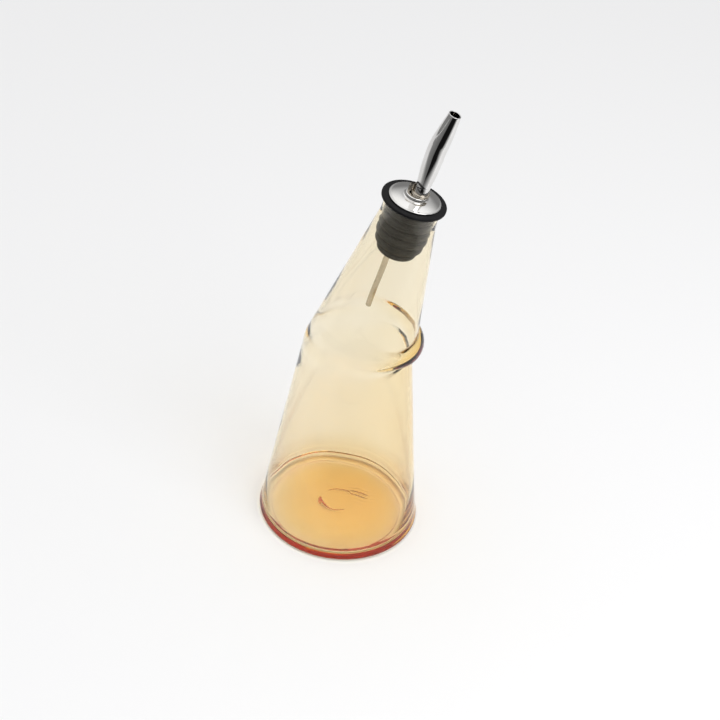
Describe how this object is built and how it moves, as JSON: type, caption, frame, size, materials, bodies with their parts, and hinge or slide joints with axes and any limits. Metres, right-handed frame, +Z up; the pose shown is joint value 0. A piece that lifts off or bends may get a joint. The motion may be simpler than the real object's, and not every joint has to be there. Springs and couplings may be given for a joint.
{
  "type": "glass oil bottle",
  "caption": "Leaning blown-glass oil bottle with a rolled fold at its waist, a finned rubber stopper and a metal pourer with a breather tube.",
  "frame": {"origin": "centre of the foot, on the surface that the bottle stands on", "axes": "+Z up, +X the way the neck leans; the lean plane is the plane Y = 0"},
  "size_m": [0.081, 0.081, 0.2263],
  "materials": {
    "amber_glass": "clear pale amber, fire polished",
    "black_rubber": "matte moulded",
    "polished_metal": "mirror polished",
    "tube_steel": "bright drawn tube"
  },
  "bodies": {
    "bottle": {"glass_bottle": "amber_glass"},
    "stopper": {"rubber_stopper": "black_rubber"},
    "pourer": {"domed_disc": "polished_metal", "spout_ferrule": "polished_metal", "pour_spout": "polished_metal", "pour_stem": "polished_metal", "vent_tube": "tube_steel"}
  },
  "joints": [
    {"name": "stopper_pull", "type": "slide", "parent": "bottle", "child": "stopper", "axis": [0.1874, 0, 0.9823], "range_m": [0, 0.07]},
    {"name": "spout_turn", "type": "hinge", "parent": "stopper", "child": "pourer", "pos_m": [0.017, 0, 0.1839], "axis": [0.1874, 0, 0.9823], "continuous": true}
  ]
}
